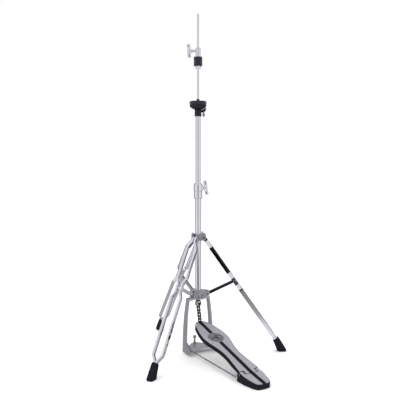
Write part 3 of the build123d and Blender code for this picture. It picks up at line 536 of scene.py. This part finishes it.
def make_wing_bolts():
    """Wing bolts of the clutch, the height clamp and the tripod's collar."""
    make_wing_bolt(
        "wing_clutch", "clutch_bolt", azimuth=150.0, height=965.0,
        tip=3.6, neck=8.4, wing=28.0, lobe=21.4, lean=1.7, replaced="clutch_wing_bolt",
    )
    make_wing_bolt(
        "wing_height", "height_bolt", azimuth=-30.0, height=532.0,
        tip=11.0, neck=16.8, wing=24.5, lobe=23.0, lean=-3.2, replaced="height_wing_bolt",
    )
    make_wing_bolt(
        "wing_collar", "collar_bolt", azimuth=30.0, height=375.0,
        tip=10.4, neck=16.6, wing=26.0, lobe=13.6, lean=0.6, replaced="collar_wing_bolt",
    )


# ---- Return spring ------------------------------------------------------------------------


def make_spring():
    """Round-wire spring with closed ends, inside the lower tube.
    """
    low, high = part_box("return_spring")
    wire = 0.9 * MM
    coil = (high.x - low.x) / 2 - wire
    bottom, top = low.z + wire, high.z - wire
    turns, sides, steps = 14, 10, 32
    closed = 2 * wire + 0.1 * MM
    pitch = (top - bottom - 2 * closed) / (turns - 2)
    loops = []
    for step in range(turns * steps + 1):
        turn = step / steps
        height = closed * min(turn, 1.0) + pitch * min(max(turn - 1.0, 0.0), turns - 2.0)
        height += closed * max(turn - (turns - 1.0), 0.0)
        angle = tau * turn
        out = Vector((cos(angle), sin(angle), 0))
        middle = column + out * coil + UP * (bottom + height)
        loops.append([
            middle + (out * cos(tau * side / sides) + UP * sin(tau * side / sides)) * wire
            for side in range(sides)
        ])
    piece_mesh = bmesh.new()
    loft(piece_mesh, loops)
    spring = finish_piece(piece_mesh, "coil_spring", "base", "steel", ["return_spring"])
    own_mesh(spring)


# ---- Badge --------------------------------------------------------------------------------


def make_badge_lines():
    """Plain pattern of arcs and ticks, printed on the round badge of the footboard."""
    across = Vector((1, 0, 0))
    badge = nodes["board_badge"]
    points = [badge.matrix_world @ vertex.co for vertex in badge.data.vertices]
    lowest = min(points, key=lambda point: point.y)
    furthest = max(points, key=lambda point: point.y)
    along = furthest - lowest
    along.x = 0.0
    along.normalize()
    normal = across.cross(along)
    ring_height = 0.48 * MM
    face = max(point.dot(normal) for point in points) - ring_height
    low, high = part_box("board_badge")
    middle = (low + high) / 2
    centre = middle + normal * (face - middle.dot(normal))
    under = centre - normal * 0.05 * MM
    over = centre + normal * 0.15 * MM
    piece_mesh = bmesh.new()

    def arc(inner, outer, start, end):
        """Flat curved bar; radii in mm, angles in degrees."""
        count = max(3, round((end - start) / 5))
        loops = []
        for step in range(count + 1):
            angle = radians(start + (end - start) * step / count)
            direction = across * cos(angle) + along * sin(angle)
            loops.append([
                under + direction * inner * MM,
                under + direction * outer * MM,
                over + direction * outer * MM,
                over + direction * inner * MM,
            ])
        loft(piece_mesh, loops)

    for start in range(0, 360, 45):
        arc(20.4, 21.6, start + 6, start + 39)
    for start in range(0, 360, 15):
        arc(17.2, 19.2, start + 3, start + 9)
    for start in (20, 140, 260):
        arc(10.4, 12.6, start, start + 80)
    for start in range(0, 360, 60):
        arc(5.0, 8.8, start + 8, start + 30)
    arc(1.2, 3.4, 0, 350)
    finish_piece(piece_mesh, "badge_lines", "footboard", "black_paint")


# ---- Floor and light ----------------------------------------------------------------------


def make_floor():
    """Plain pale floor, just under the feet."""
    half = 60.0
    level = -0.4 * MM
    piece_mesh = bmesh.new()
    corners = [(-half, -half), (half, -half), (half, half), (-half, half)]
    piece_mesh.faces.new([piece_mesh.verts.new((x, y, level)) for x, y in corners])
    mesh = bpy.data.meshes.new("floor")
    piece_mesh.to_mesh(mesh)
    piece_mesh.free()
    floor = bpy.data.objects.new("floor", mesh)
    bpy.context.scene.collection.objects.link(floor)
    shader = Shader("floor")
    shader.set(Specular_IOR_Level=0.0)
    shader.colour(shader.noise(3.0), (0.955, 0.955, 0.955), (0.97, 0.97, 0.97))
    shader.roughness(shader.noise(40.0), 0.9, 1.0)
    mesh.materials.append(shader.material)
    floor.visible_glossy = False


LIT_HEIGHT = 0.4


def area_light(name, azimuth, height, distance, size, power):
    """Soft box that faces the middle of the stand, and doesn't show in reflections."""
    data = bpy.data.lights.new(name, "AREA")
    data.shape = "RECTANGLE"
    data.size, data.size_y = size
    data.energy = power
    light = bpy.data.objects.new(name, data)
    light.location = column + outward(azimuth) * distance + UP * height
    aim = column + UP * LIT_HEIGHT - light.location
    light.rotation_euler = aim.to_track_quat("-Z", "Y").to_euler()
    light.visible_glossy = False
    bpy.context.scene.collection.objects.link(light)


def make_world():
    """White studio. Mirror-like surfaces see a dark gap in it where a photographer would stand.

    They see tones that depend on two things: turn, the angle round the column from the front,
    and z, the sine of the elevation. All other surfaces are lit by plain white.
    """
    world = bpy.data.worlds.new("studio")
    bpy.context.scene.world = world
    world.use_nodes = True
    tree = world.node_tree
    tree.nodes.clear()
    links = tree.links
    path = tree.nodes.new("ShaderNodeLightPath")

    def math(operation, first, second=None):
        """One sum on sockets or numbers."""
        node = tree.nodes.new("ShaderNodeMath")
        node.operation = operation
        for socket, value in zip(node.inputs, (first, second)):
            if value is None:
                continue
            if isinstance(value, (int, float)):
                socket.default_value = value
            else:
                links.new(value, socket)
        return node.outputs[0]

    def rise(value, low, high):
        """Smooth step from 0 to 1."""
        node = tree.nodes.new("ShaderNodeMapRange")
        node.interpolation_type = "SMOOTHSTEP"
        node.inputs["From Min"].default_value = low
        node.inputs["From Max"].default_value = high
        links.new(value, node.inputs["Value"])
        return node.outputs["Result"]

    def fall(value, low, high):
        """Smooth step from 1 to 0."""
        return math("SUBTRACT", 1.0, rise(value, low, high))

    def dimmed(value, mask, share):
        """Value with a share of it taken away where the mask is 1."""
        return math("MULTIPLY", value, math("SUBTRACT", 1.0, math("MULTIPLY", mask, share)))

    def background(strength, colour=(1.0, 1.0, 1.0)):
        """Background shader; the strength is a number or a socket."""
        node = tree.nodes.new("ShaderNodeBackground")
        node.inputs["Color"].default_value = (*colour, 1.0)
        if isinstance(strength, float):
            node.inputs["Strength"].default_value = strength
        else:
            links.new(strength, node.inputs["Strength"])
        return node.outputs[0]

    def mixed(ray, other, chosen):
        """The chosen shader for one kind of ray, and the other for the rest."""
        node = tree.nodes.new("ShaderNodeMixShader")
        links.new(path.outputs[ray], node.inputs["Fac"])
        links.new(other, node.inputs[1])
        links.new(chosen, node.inputs[2])
        return node.outputs[0]

    coordinates = tree.nodes.new("ShaderNodeTexCoord")
    split = tree.nodes.new("ShaderNodeSeparateXYZ")
    links.new(coordinates.outputs["Generated"], split.inputs[0])
    x, y, z = split.outputs
    front = Vector((towards_camera.x, towards_camera.y, 0)).normalized()
    ahead = math("ADD", math("MULTIPLY", x, front.x), math("MULTIPLY", y, front.y))
    aside = math("ADD", math("MULTIPLY", x, -front.y), math("MULTIPLY", y, front.x))
    turn = math("ABSOLUTE", math("ARCTAN2", aside, ahead))

    # dark gap in front of the stand, above the lit floor and wider higher up
    narrow = math("MULTIPLY", fall(turn, radians(5.6), radians(6.6)), rise(z, -0.262, -0.25))
    wide = math("MULTIPLY", fall(turn, radians(9), radians(11)), rise(z, -0.17, -0.14))
    gap = math("MULTIPLY", math("MAXIMUM", narrow, wide), fall(z, 0.3, 0.45))

    # grey far edge of the floor
    edge = math("MULTIPLY", fall(turn, radians(30), radians(50)), rise(z, -0.286, -0.27))
    edge = math("MULTIPLY", edge, fall(z, -0.2, -0.16))

    # bright in front and beside, two steps dimmer towards the back, bright again right behind
    tone = math("SUBTRACT", 0.90, math("MULTIPLY", rise(turn, radians(94), radians(108)), 0.43))
    tone = math("SUBTRACT", tone, math("MULTIPLY", rise(turn, radians(123), radians(132)), 0.25))
    tone = math("ADD", tone, math("MULTIPLY", rise(turn, radians(164), radians(176)), 0.5))
    tone = dimmed(tone, edge, 0.6)
    tone = dimmed(tone, gap, 0.99)

    lit = mixed("Is Glossy Ray", background(1.04), background(tone, (0.985, 0.98, 1.0)))
    surround = mixed("Is Camera Ray", lit, background(1.0))
    output = tree.nodes.new("ShaderNodeOutputWorld")
    links.new(surround, output.inputs["Surface"])


make_camera()
paint_frame()
make_felts()
for leg_name, leg_azimuth in LEG_AZIMUTHS.items():
    make_foot(leg_name, leg_azimuth)
make_wing_bolts()
make_spring()
make_badge_lines()
make_floor()
make_world()
area_light("key", 195.0, 2.0, 2.4, (1.6, 2.2), 22.0)
area_light("fill", -20.0, 1.5, 2.6, (1.4, 2.0), 10.0)
area_light("top", 60.0, 2.8, 1.0, (2.0, 2.0), 14.0)
bpy.context.scene.view_settings.view_transform = "Standard"
